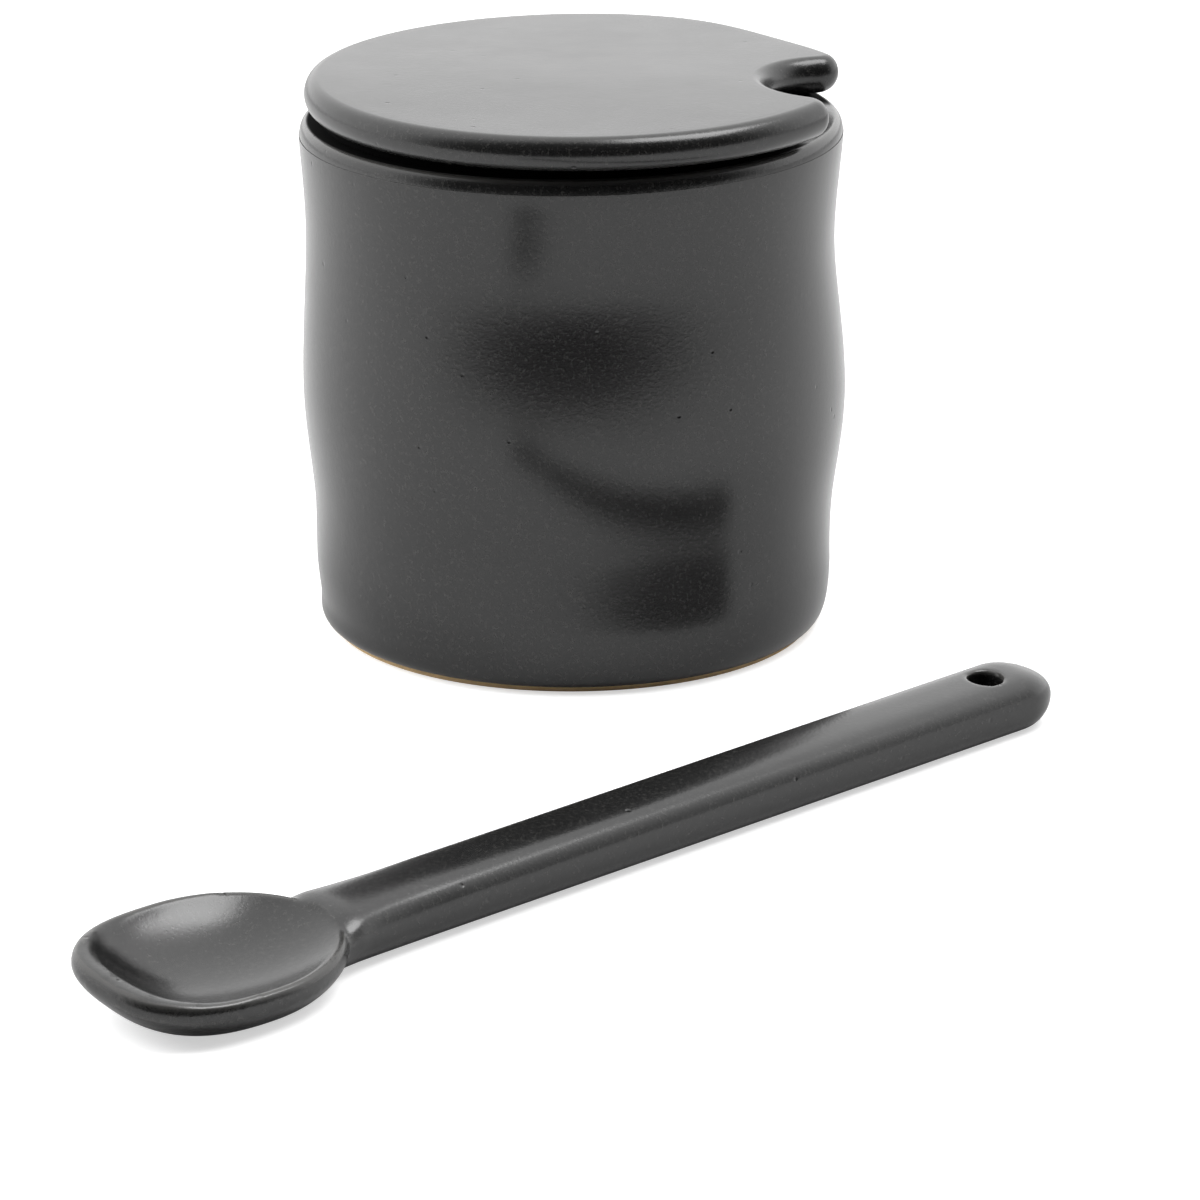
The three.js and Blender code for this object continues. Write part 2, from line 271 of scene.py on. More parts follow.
@dataclass(frozen=True)
class StonewareGlaze:
    """Satin black stoneware glaze, dipped and fired.

    It is dark and softly glossy, with a fine grain and small pits. Where it drew back from an edge it is
    thinner and greyer, and that grey edge line is also a painted highlight. Where it was wiped it is matt,
    and there its colour is painted shade, darker than the glaze, in the gap under the lid. Below the glaze
    line pale clay shows. Sizes are in millimetres.
    """

    name: str
    body_colour: str = "#151515"
    cloud_colour: str = "#1a1a1a"
    # Colour of lighter specks, and of convex edges, where it is a thinner glaze and also a painted
    # highlight.
    pale_glaze_and_sheen_colour: str = "#4c4b49"
    roughness: float = 0.28
    roughness_spread: float = 0.015
    matt_roughness: float = 0.9
    shine: float = 0.5
    dry_shine: float = 0.03
    ior: float = 1.55
    cloud_size: float = 9.0
    grain_size: float = 0.55
    grain_depth: float = 0.018
    speck_start: float = 0.52
    speck_full: float = 0.8
    speck_most: float = 0.45
    pit_spacing: float = 6.0
    pit_start: float = 0.02
    pit_end: float = 0.08
    pit_depth: float = 0.07
    swell_size: float = 16.0
    swell_depth: float = 0.0
    bare_height: float = 0.0
    line_ragged: float = 0.3
    line_under: float = 0.05
    line_over: float = 0.1
    clay_colour: str = "#d8bd92"
    # Painted shade for the jar's seat and ledge, in the gap under the lid.
    seat_shade_colour: str = "#0b0b0b"

    def material(self) -> bpy.types.Material:
        """Build the glaze's node tree.

        Returns:
            A new material.
        """
        made = bpy.data.materials.new(self.name)
        made.use_nodes = True
        tree = made.node_tree
        tree.nodes.clear()
        place = add_node(tree, "ShaderNodeTexCoord")["Object"]
        noises = []
        kinds = ((self.cloud_size, 3.0, 0.6), (self.grain_size, 2.0, 0.7), (self.swell_size, 1.0, 0.5))
        for size, detail, rough in kinds:
            noise = add_node(tree, "ShaderNodeTexNoise",
                             {"Scale": 1 / (size * MM), "Detail": detail, "Roughness": rough},
                             {"Vector": place})
            noises.append(noise["Fac"])
        clouds, grain, swell = noises
        cells = add_node(tree, "ShaderNodeTexVoronoi", {"Scale": 1 / (self.pit_spacing * MM)},
                         {"Vector": place})["Distance"]
        pits = add_node(tree, "ShaderNodeMapRange",
                        {"interpolation_type": "SMOOTHSTEP", "From Min": self.pit_start,
                         "From Max": self.pit_end}, {"Value": cells})["Result"]
        thin_glaze_and_sheen = add_node(tree, "ShaderNodeAttribute", {"attribute_name": "thin_glaze_and_sheen"})["Fac"]
        dry_shaded_seat = add_node(tree, "ShaderNodeAttribute", {"attribute_name": "dry_shaded_seat"})["Fac"]

        colour = add_node(tree, "ShaderNodeMix", {"data_type": "RGBA", 6: linear(self.body_colour),
                                                  7: linear(self.cloud_colour)}, {0: clouds})[2]
        specks = add_node(tree, "ShaderNodeMapRange", {
            "From Min": self.speck_start, "From Max": self.speck_full, "To Max": self.speck_most},
            {"Value": grain})["Result"]
        # Lighter specks in the grain, and along convex edges a thinner glaze that also serves as a painted
        # highlight.
        specks_and_edge_sheen = add_node(tree, "ShaderNodeMath", {"operation": "MAXIMUM"}, {0: specks, 1: thin_glaze_and_sheen})[0]
        gloss = add_node(tree, "ShaderNodeMapRange", {
            "From Min": 0.3, "From Max": 0.7, "To Min": self.roughness - self.roughness_spread,
            "To Max": self.roughness + self.roughness_spread}, {"Value": clouds})["Result"]
        # The seat's dark colour is painted shade in the gap under the lid; its matt finish is the wiped
        # glaze.
        matt = [(dry_shaded_seat, self.seat_shade_colour)]
        if self.bare_height:
            matt.insert(0, (self.bare_clay_share(tree, place, grain), self.clay_colour))
        for share, over in ((specks_and_edge_sheen, self.pale_glaze_and_sheen_colour), *matt):
            colour = add_node(tree, "ShaderNodeMix", {"data_type": "RGBA", 7: linear(over)},
                              {0: share, 6: colour})[2]
        for share, _ in matt:
            gloss = add_node(tree, "ShaderNodeMix", {"data_type": "FLOAT", 3: self.matt_roughness},
                             {0: share, 2: gloss})[0]
        shine = add_node(tree, "ShaderNodeMapRange", {"To Min": self.shine, "To Max": self.dry_shine},
                         {"Value": dry_shaded_seat})["Result"]
        relief = {}
        for height, deep in ((grain, self.grain_depth), (pits, self.pit_depth), (swell, self.swell_depth)):
            bump = add_node(tree, "ShaderNodeBump", {"Strength": 1.0, "Distance": deep * MM},
                            {"Height": height, **relief})
            relief = {"Normal": bump["Normal"]}
        shader = add_node(tree, "ShaderNodeBsdfPrincipled", {"IOR": self.ior},
                          {"Base Color": colour, "Roughness": gloss, "Specular IOR Level": shine, **relief})
        add_node(tree, "ShaderNodeOutputMaterial", links={"Surface": shader["BSDF"]})
        return made

    def bare_clay_share(self, tree: bpy.types.NodeTree, place: bpy.types.NodeSocket,
                        grain: bpy.types.NodeSocket) -> bpy.types.NodeSocket:
        """Find where the glaze was wiped off the foot.

        Args:
            tree: The glaze's tree.
            place: Object coordinates.
            grain: Fine noise that roughens the glaze line.

        Returns:
            A socket that is 1 on bare clay and 0 on glaze.
        """
        height = add_node(tree, "ShaderNodeSeparateXYZ", links={0: place})["Z"]
        ragged = add_node(tree, "ShaderNodeMath", {
            "operation": "MULTIPLY_ADD", 1: self.line_ragged * MM, 2: -self.line_ragged / 2 * MM},
            {0: grain})[0]
        edge = add_node(tree, "ShaderNodeMath", {"operation": "ADD"}, {0: height, 1: ragged})[0]
        return add_node(tree, "ShaderNodeMapRange",
                        {"From Min": (self.bare_height - self.line_under) * MM,
                         "From Max": (self.bare_height + self.line_over) * MM,
                         "To Min": 1.0, "To Max": 0.0}, {"Value": edge})["Result"]


def mark_thin_glaze_and_sheen(piece: bpy.types.Object, tight: float = 1.0, soft: float = 3.0, most: float = 0.5,
                    shortest: float = 0.05) -> None:
    """Mark where the molten glaze drew back from a rounded edge, as a point attribute that greys the glaze
    there: partly a thinner glaze, partly a painted highlight along the edge.

    Args:
        piece: The finished piece.
        tight: Radius of an edge, in millimetres, at which the glaze is thinnest.
        soft: Radius at which the glaze starts to grow thinner.
        most: Value of the attribute at its thinnest.
        shortest: Least distance between the middles of two faces, in millimetres, that is counted.
    """
    work = bmesh.new()
    work.from_mesh(piece.data)
    centres = [face.calc_center_median() for face in work.faces]
    curve = np.zeros(len(work.verts))
    for edge in work.edges:
        first, second = [centres[face.index] for face in edge.link_faces]
        bent = edge.calc_face_angle_signed(0.0) * MM / max((first - second).length, shortest * MM)
        for vert in edge.verts:
            curve[vert.index] = max(curve[vert.index], bent)
    work.free()
    thin_glaze_and_sheen = piece.data.attributes.new("thin_glaze_and_sheen", "FLOAT", "POINT")
    thin_glaze_and_sheen.data.foreach_set("value", most * smooth_step(curve, 1 / soft, 1 / tight))


def dress(piece: bpy.types.Object, node: str) -> bpy.types.Object:
    """Shade a finished piece softly and tie it to the solid that it stands for.

    Args:
        piece: The finished piece.
        node: CAD node that it replaces, which is also its body's name.

    Returns:
        The same piece.
    """
    piece.data.polygons.foreach_set("use_smooth", [True] * len(piece.data.polygons))
    piece.data.set_sharp_from_angle(angle=math.radians(SHARP_DEGREES))
    # Greys convex edges: a thinner glaze there, and also a painted highlight along each edge.
    mark_thin_glaze_and_sheen(piece)
    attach(piece, node)
    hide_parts(node)
    log.info("%s: %d faces, stands for %s", piece.name, len(piece.data.polygons), node)
    return piece


@dataclass
class Hollow:
    """A soft hollow in the jar's wall, in millimetres and degrees; a negative depth swells."""

    angle: float
    height: float
    depth: float
    length: float
    breadth: float


@dataclass
class Jar:
    """The pot: a turned profile, uneven as a hand-made wall is, with its rim finished on a slant.

    The belly swells 0.02 mm less than the solid's, so that this finer wall stays inside the solid's box.
    """

    seat_height: float = 78.1
    shoulder_radius: float = 40.0
    shoulder_drop: float = 3.6
    shoulder_band: float = 1.0
    waist_draw: float = 0.7
    waist_drop: float = 18.8
    belly_swell: float = 0.28
    belly_drop: float = 42.1
    skirt_draw: float = 1.1
    skirt_rise: float = 10.0
    foot_draw: float = 3.8
    foot_height: float = 0.8
    foot_step: float = 0.3
    corner_height: float = 9.0
    wall: float = 4.0
    floor: float = 6.0
    floor_round: float = 9.0
    crest_inset: float = 1.4
    crest_drop: float = 1.1
    mouth_inset: float = 4.4
    seat_step: float = 0.3
    seat_width: float = 0.3
    mouth_round: float = 0.4
    seat_tilt: float = 0.4
    # Where the seat's painted shade is left out at the lid's notch, and where it starts below the ledge.
    glazed_angle: float = -10.0
    glazed_half: float = 16.0
    glazed_fade: float = 6.0
    seat_shade_start: float = 1.0
    seat_shade_fade: float = 0.5
    wobble_depth: float = 0.12
    wobble_size: float = 24.0
    merge: float = 0.002
    segments: int = 240
    foot_rings: int = 10
    floor_rings: int = 8
    hollows: tuple[Hollow, ...] = (
        Hollow(-90, 59, 0.6, 17, 12),
        Hollow(-66, 18, 0.25, 14, 8),
        Hollow(2, 58, 0.4, 14, 10),
        Hollow(0, 34, -0.6, 24, 16),
        Hollow(180, 22, 0.4, 24, 22),
        Hollow(-165, 4.5, 0.65, 30, 5.5),
    )

    @property
    def waist_height(self) -> float:
        """Height of the waist above the foot."""
        return self.seat_height - self.waist_drop

    @property
    def shoulder_height(self) -> float:
        """Height where the shoulder starts to turn in."""
        return self.seat_height - self.shoulder_drop

    @property
    def band_height(self) -> float:
        """Height where the wall's upright band under the shoulder starts."""
        return self.shoulder_height - self.shoulder_band

    @property
    def foot_radius(self) -> float:
        """Radius of the flat foot."""
        return self.shoulder_radius - self.foot_draw

    @property
    def mouth_radius(self) -> float:
        """Radius of the mouth."""
        return self.shoulder_radius - self.mouth_inset

    def profile(self) -> list[tuple]:
        """Work out the wall's outline, from the middle of the foot to the middle of the floor inside.

        Returns:
            Radius and height of each point, in millimetres.
        """
        big, seat = self.shoulder_radius, self.seat_height
        foot, mouth = self.foot_radius, self.mouth_radius
        belly = seat - self.belly_drop
        skirt, lip = big - self.skirt_draw, mouth + self.mouth_round
        crest = (big - self.crest_inset, seat - self.crest_drop)
        seat_edge = (lip + self.seat_width, seat)
        inner_skirt = skirt - self.wall
        corner = (skirt, self.foot_height)
        glaze_line = (foot + self.foot_step, self.foot_height)
        points = [(r, 0) for r in np.linspace(0, foot, self.foot_rings)]
        points += [(foot, self.foot_height), glaze_line]
        points += bend(glaze_line, corner, (skirt, self.corner_height), 2 * ROUND_STEPS)
        points += spline([points[-1], (skirt, self.corner_height + self.skirt_rise),
                          (big + self.belly_swell, belly), (big - self.waist_draw, self.waist_height),
                          (big, self.band_height), (big, self.shoulder_height)])
        points += bend(points[-1], (big, crest[1]), crest, 2 * ROUND_STEPS)
        points += [(seat_edge[0] + self.seat_step, crest[1]), seat_edge, (lip, seat)]
        points += bend(points[-1], (mouth, seat), (mouth, seat - self.mouth_round))
        points += spline([points[-1], (big - self.waist_draw - self.wall, self.waist_height),
                          (big + self.belly_swell - self.wall, belly),
                          (inner_skirt, self.floor + self.floor_round)], SPLINE_STEPS // 2)
        flat = inner_skirt - self.floor_round
        points += bend(points[-1], (inner_skirt, self.floor), (flat, self.floor))
        points += [(r, self.floor) for r in np.linspace(flat, 0, self.floor_rings)[1:]]
        return points

    def hollow_tree(self) -> bpy.types.NodeTree:
        """Build the node group that gives the depth of one hollow at a point of the wall.

        Returns:
            A geometry node group.
        """
        tree = bpy.data.node_groups.new("wall_hollow", "GeometryNodeTree")
        tree.interface.new_socket("Position", in_out="INPUT", socket_type="NodeSocketVector")
        for name in ("Angle", "Radius", "Height", "Depth", "Length", "Breadth"):
            tree.interface.new_socket(name, in_out="INPUT", socket_type="NodeSocketFloat")
        tree.interface.new_socket("Depth", in_out="OUTPUT", socket_type="NodeSocketFloat")
        given = add_node(tree, "NodeGroupInput")
        back = add_node(tree, "ShaderNodeMath", {"operation": "MULTIPLY", 1: -1.0}, {0: given["Angle"]})[0]
        facing = add_node(tree, "ShaderNodeVectorRotate", {"rotation_type": "Z_AXIS"},
                          {"Vector": given["Position"], "Angle": back})[0]
        parts = add_node(tree, "ShaderNodeSeparateXYZ", links={0: facing})
        turn = add_node(tree, "ShaderNodeMath", {"operation": "ARCTAN2"}, {0: parts["Y"], 1: parts["X"]})[0]
        across = add_node(tree, "ShaderNodeMath", {"operation": "MULTIPLY"},
                          {0: turn, 1: given["Radius"]})[0]
        across = add_node(tree, "ShaderNodeMath", {"operation": "DIVIDE"},
                          {0: across, 1: given["Length"]})[0]
        rise = add_node(tree, "ShaderNodeMath", {"operation": "SUBTRACT"},
                        {0: parts["Z"], 1: given["Height"]})[0]
        rise = add_node(tree, "ShaderNodeMath", {"operation": "DIVIDE"}, {0: rise, 1: given["Breadth"]})[0]
        away = add_node(tree, "ShaderNodeCombineXYZ", links={"X": across, "Y": rise})[0]
        square = add_node(tree, "ShaderNodeVectorMath", {"operation": "DOT_PRODUCT"},
                          {0: away, 1: away})["Value"]
        fall = add_node(tree, "ShaderNodeMath", {"operation": "MULTIPLY", 1: -1.0}, {0: square})[0]
        share = add_node(tree, "ShaderNodeMath", {"operation": "EXPONENT"}, {0: fall})[0]
        depth = add_node(tree, "ShaderNodeMath", {"operation": "MULTIPLY"},
                         {0: share, 1: given["Depth"]})[0]
        add_node(tree, "NodeGroupOutput", links={"Depth": depth})
        return tree

    def turning_tree(self) -> bpy.types.NodeTree:
        """Build the tree that turns a profile into the jar's uneven wall.

        Returns:
            A geometry node group for a modifier.
        """
        tree = bpy.data.node_groups.new("turned_wall", "GeometryNodeTree")
        tree.interface.new_socket("Profile", in_out="INPUT", socket_type="NodeSocketGeometry")
        tree.interface.new_socket("Segments", in_out="INPUT", socket_type="NodeSocketInt")
        for name in ("Rim tilt", "Wobble depth", "Wobble size"):
            tree.interface.new_socket(name, in_out="INPUT", socket_type="NodeSocketFloat")
        tree.interface.new_socket("Glaze", in_out="INPUT", socket_type="NodeSocketMaterial")
        tree.interface.new_socket("Wall", in_out="OUTPUT", socket_type="NodeSocketGeometry")
        given = add_node(tree, "NodeGroupInput")

        count = add_node(tree, "GeometryNodeAttributeDomainSize",
                         links={"Geometry": given["Profile"]})["Point Count"]
        columns = add_node(tree, "ShaderNodeMath", {"operation": "ADD", 1: 1.0}, {0: given["Segments"]})[0]
        sheet = add_node(tree, "GeometryNodeMeshGrid", {"Size X": 1.0, "Size Y": 1.0},
                         {"Vertices X": columns, "Vertices Y": count})["Mesh"]
        here = add_node(tree, "GeometryNodeInputPosition")[0]
        flat = add_node(tree, "ShaderNodeSeparateXYZ", links={0: here})
        angle = add_node(tree, "ShaderNodeMath", {"operation": "MULTIPLY_ADD", 1: 2 * math.pi, 2: math.pi},
                         {0: flat["X"]})[0]
        last = add_node(tree, "ShaderNodeMath", {"operation": "SUBTRACT", 1: 1.0}, {0: count})[0]
        share = add_node(tree, "ShaderNodeMath", {"operation": "ADD", 1: 0.5}, {0: flat["Y"]})[0]
        row = add_node(tree, "ShaderNodeMath", {"operation": "MULTIPLY"}, {0: share, 1: last})[0]
        row = add_node(tree, "FunctionNodeFloatToInt", {"rounding_mode": "ROUND"}, {0: row})[0]
        point = add_node(tree, "GeometryNodeSampleIndex", {"data_type": "FLOAT_VECTOR"},
                         {"Geometry": given["Profile"], "Value": here, "Index": row})["Value"]
        wall = add_node(tree, "ShaderNodeVectorRotate", {"rotation_type": "Z_AXIS"},
                        {"Vector": point, "Angle": angle})[0]
        wall = add_node(tree, "GeometryNodeSetPosition", links={"Geometry": sheet, "Position": wall})[0]

        place = add_node(tree, "ShaderNodeSeparateXYZ", links={0: here})
        level = add_node(tree, "ShaderNodeCombineXYZ", links={"X": place["X"], "Y": place["Y"]})[0]
        radius = add_node(tree, "ShaderNodeVectorMath", {"operation": "LENGTH"}, {0: level})["Value"]
        outward = add_node(tree, "ShaderNodeVectorMath", {"operation": "NORMALIZE"}, {0: level})[0]
        waves = add_node(tree, "ShaderNodeTexNoise", {"Detail": 1.0},
                         {"Vector": here, "Scale": given["Wobble size"]})["Fac"]
        waves = add_node(tree, "ShaderNodeMath", {"operation": "SUBTRACT", 1: 0.5}, {0: waves})[0]
        depth = add_node(tree, "ShaderNodeMath", {"operation": "MULTIPLY"},
                         {0: waves, 1: given["Wobble depth"]})[0]
        group = self.hollow_tree()
        for hollow in self.hollows:
            found = add_node(tree, "GeometryNodeGroup", {
                "node_tree": group, "Angle": math.radians(hollow.angle), "Radius": self.shoulder_radius * MM,
                "Height": hollow.height * MM, "Depth": hollow.depth * MM, "Length": hollow.length * MM,
                "Breadth": hollow.breadth * MM}, {"Position": here})[0]
            depth = add_node(tree, "ShaderNodeMath", {"operation": "ADD"}, {0: depth, 1: found})[0]
        fades = (
            (radius, self.foot_radius - 2 * self.wall, self.foot_radius - self.wall, 0.0, 1.0),
            (place["Z"], self.foot_height, self.corner_height / 2, 0.0, 1.0),
            (place["Z"], self.shoulder_height - self.wall, self.seat_height, 1.0, 0.0),
        )
        for source, low, high, start, end in fades:
            fade = add_node(tree, "ShaderNodeMapRange", {
                "interpolation_type": "SMOOTHSTEP", "From Min": low * MM, "From Max": high * MM,
                "To Min": start, "To Max": end}, {"Value": source})["Result"]
            depth = add_node(tree, "ShaderNodeMath", {"operation": "MULTIPLY"}, {0: depth, 1: fade})[0]
        inward = add_node(tree, "ShaderNodeMath", {"operation": "MULTIPLY", 1: -1.0}, {0: depth})[0]
        press = add_node(tree, "ShaderNodeVectorMath", {"operation": "SCALE"},
                         {0: outward, "Scale": inward})[0]
        wall = add_node(tree, "GeometryNodeSetPosition", links={"Geometry": wall, "Offset": press})[0]

        slope = add_node(tree, "ShaderNodeMath", {"operation": "TANGENT"}, {0: given["Rim tilt"]})[0]
        lift = add_node(tree, "ShaderNodeMath", {"operation": "MULTIPLY"}, {0: place["X"], 1: slope})[0]
        top = add_node(tree, "ShaderNodeMapRange", {
            "interpolation_type": "SMOOTHSTEP", "From Min": self.waist_height * MM,
            "From Max": self.shoulder_height * MM}, {"Value": place["Z"]})["Result"]
        lift = add_node(tree, "ShaderNodeMath", {"operation": "MULTIPLY"}, {0: lift, 1: top})[0]
        lift = add_node(tree, "ShaderNodeCombineXYZ", links={"Z": lift})[0]
        wall = add_node(tree, "GeometryNodeSetPosition", links={"Geometry": wall, "Offset": lift})[0]
        wall = add_node(tree, "GeometryNodeMergeByDistance", {"Distance": self.merge * MM},
                        {"Geometry": wall})[0]
        wall = add_node(tree, "GeometryNodeRealizeInstances", links={"Geometry": wall})[0]
        wall = add_node(tree, "GeometryNodeSetMaterial",
                        links={"Geometry": wall, "Material": given["Glaze"]})[0]
        add_node(tree, "NodeGroupOutput", links={"Wall": wall})
        return tree

    def mark_dry_shaded_seat(self, piece: bpy.types.Object) -> None:
        """Mark the ledge and seat as wiped matt, so that the lid would not fuse on, and painted darker there
        as painted shade in the gap under the lid.

        The stretch that shows through the lid's notch keeps its glaze and gets no painted shade.

        Args:
            piece: The turned jar.
        """
        points = points_of(piece)
        radius = np.hypot(points[:, 0], points[:, 1])
        crest, ledge = self.shoulder_radius - self.crest_inset, self.seat_height - self.crest_drop
        low = ledge - self.seat_shade_start
        share = smooth_step(points[:, 2], low, low + self.seat_shade_fade)
        share *= 1 - smooth_step(radius, crest, crest + self.seat_shade_fade)
        away = np.degrees(np.arctan2(points[:, 1], points[:, 0])) - self.glazed_angle
        share *= smooth_step(np.abs(away), self.glazed_half, self.glazed_half + self.glazed_fade)
        dry_shaded_seat = piece.data.attributes.new("dry_shaded_seat", "FLOAT", "POINT")
        dry_shaded_seat.data.foreach_set("value", share)

    def build(self, glaze: StonewareGlaze) -> bpy.types.Object:
        """Turn the wall and dress it.

        Args:
            glaze: Finish of the jar.

        Returns:
            The jar as one closed mesh.
        """
        profile = [(r * MM, 0, z * MM) for r, z in self.profile()]
        line = bpy.data.meshes.new("stoneware_jar")
        line.from_pydata(profile, [(i, i + 1) for i in range(len(profile) - 1)], [])
        piece = add_object("stoneware_jar", line)
        turning = piece.modifiers.new("turning", "NODES")
        turning.node_group = self.turning_tree()
        values = {"Segments": self.segments, "Rim tilt": math.radians(self.seat_tilt),
                  "Wobble depth": self.wobble_depth * MM, "Wobble size": 1 / (self.wobble_size * MM),
                  "Glaze": glaze.material()}
        for socket in turning.node_group.interface.items_tree:
            if socket.name in values:
                turning[socket.identifier] = values[socket.name]
        with_outward_faces(made_plain(piece))
        # Painted shade on the seat and ledge under the lid, with a matt finish.
        self.mark_dry_shaded_seat(piece)
        return dress(piece, "jar")


@dataclass
class Lid:
    """The loose lid: a soft-edged disc, bitten out for the spoon's handle, with a ring underneath.

    It lies 0.005 mm lower than the solid, so that this finer disc stays inside the solid's box.
    """

    radius: float = 40.8
    thickness: float = 5.7
    edge_round: float = 3.0
    top_round: float = 2.2
    front_fall: float = 0.6
    shift: float = 2.3
    shift_angle: float = -41.0
    seat_gap: float = 0.295
    notch_angle: float = -8.0
    notch_radius: float = 11.9
    notch_depth: float = 13.6
    horn_radius: float = 4.2
    flat_depth: float = 3.4
    flat_angle: float = 44.0
    flat_spread: float = 24.0
    flange_height: float = 5.0
    flange_wall: float = 3.2
    flange_play: float = 0.5
    flange_roof: float = 1.0
    bite_height: float = 30.0
    rim_steps: int = 240
    horn_steps: int = 18
    notch_steps: int = 44
    edge_steps: int = 40
    flange_steps: int = 160
    bite_steps: int = 96

    @property
    def notch_reach(self) -> float:
        """Distance from the lid's centre out to the notch's centre."""
        return self.radius - self.notch_depth + self.notch_radius

    def outline(self) -> np.ndarray:
        """Work out the lid's edge seen from above, with the notch along +X.

        Returns:
            Points in millimetres, one row each, counter-clockwise.
        """
        reach, small = self.notch_reach, self.horn_radius
        hub = self.radius - small
        horn_x = (hub ** 2 + reach ** 2 - (self.notch_radius + small) ** 2) / (2 * reach)
        horn_y = math.sqrt(hub ** 2 - horn_x ** 2)
        edge = math.atan2(horn_y, horn_x)
        bite = math.atan2(horn_y, horn_x - reach)
        arcs = (
            (0, 0, self.radius, edge, 2 * math.pi - edge, self.rim_steps),
            (horn_x, -horn_y, small, -edge, math.pi - bite, self.horn_steps),
            (reach, 0, self.notch_radius, 2 * math.pi - bite, bite, self.notch_steps),
            (horn_x, horn_y, small, bite - math.pi, edge, self.horn_steps),
        )
        parts = []
        for x, y, radius, start, end, steps in arcs:
            angles = np.linspace(start, end, steps, endpoint=False)
            parts.append(np.column_stack([x + radius * np.cos(angles), y + radius * np.sin(angles)]))
        points = np.vstack(parts)
        away = (np.degrees(np.arctan2(points[:, 1], points[:, 0])) - self.flat_angle) / self.flat_spread
        return points * (1 - self.flat_depth / self.radius * np.exp(-away ** 2))[:, None]

    def plate(self) -> bpy.types.Object:
        """Loft the disc with its rounded edge.

        Returns:
            A closed mesh in the lid's own frame, standing on z = 0.
        """
        edge = self.outline()
        along = np.roll(edge, -1, axis=0) - np.roll(edge, 1, axis=0)
        outward = np.column_stack([along[:, 1], -along[:, 0]]) / np.hypot(*along.T)[:, None]
        under, over = edge - self.edge_round * outward, edge - self.top_round * outward
        rings = []
        shares = (0.15, 0.3, 0.45, 0.6, 0.72, 0.82, 0.9, 0.96)
        for share in shares:
            rings.append(np.column_stack([share * under, np.zeros(len(edge))]))
        for angle in np.radians(np.linspace(-90, 90, self.edge_steps + 1)):
            inwards, upwards = self.edge_round, self.edge_round
            if angle > 0:
                inwards, upwards = self.top_round, self.thickness - self.edge_round
            ring = edge - inwards * (1 - math.cos(angle)) * outward
            height = self.edge_round + upwards * math.sin(angle)
            rings.append(np.column_stack([ring, np.full(len(edge), height)]))
        for share in shares[::-1]:
            rings.append(np.column_stack([share * over, np.full(len(edge), self.thickness)]))
        return skin("stoneware_lid", rings, np.array([0, 0, 0]), np.array([0, 0, self.thickness]))

    def flange(self, mouth: float) -> bpy.types.Object:
        """Turn the ring that keeps the lid in the mouth, cut away at the notch.

        Args:
            mouth: Radius of the jar's mouth.

        Returns:
            A closed mesh in the lid's own frame.
        """
        outer = mouth - self.shift - self.flange_play
        inner = outer - self.flange_wall
        soft, sunk, low = self.flange_wall / 4, self.thickness / 2, -self.flange_height
        section = [(0, sunk), (outer, sunk), (outer, low + soft), (outer - soft, low), (0, low)]
        wall = turned("flange", section, self.flange_steps)
        roof = sunk - self.flange_roof
        bore = turned("bore", [(0, 2 * low), (inner, 2 * low), (inner, roof), (0, roof)], self.flange_steps)
        reach, tall = self.notch_radius + self.edge_round, self.bite_height
        bite = turned("bite", [(0, -tall), (reach, -tall), (reach, tall), (0, tall)], self.bite_steps)
        move_points(bite, points_of(bite) + [self.notch_reach, 0, 0])
        return combine(wall, [(bore, Cut.TAKE), (bite, Cut.TAKE)])

    def build(self, glaze: StonewareGlaze, jar: Jar) -> bpy.types.Object:
        """Make the lid, set it on the jar's slanted rim and dress it.

        Args:
            glaze: Finish of the lid.
            jar: The jar that carries it.

        Returns:
            The lid as one closed mesh.
        """
        piece = combine(self.plate(), [(self.flange(jar.mouth_radius), Cut.JOIN)])
        points = points_of(piece)
        thinned = self.front_fall * smooth_step(-points[:, 1], 0, self.radius)
        points[:, 2] -= thinned * np.maximum(points[:, 2] / self.thickness, 0)
        move_points(piece, points)
        turn = Matrix.Rotation(math.radians(self.notch_angle), 4, "Z")
        off = math.radians(self.shift_angle)
        slide = Matrix.Translation((self.shift * math.cos(off) * MM, self.shift * math.sin(off) * MM, 0))
        tilt = Matrix.Rotation(-math.radians(jar.seat_tilt), 4, "Y")
        seat = Matrix.Translation((0, 0, (jar.seat_height + self.seat_gap) * MM))
        piece.data.transform(seat @ tilt @ slide @ turn)
        piece.data.materials.append(glaze.material())
        return dress(piece, "lid")


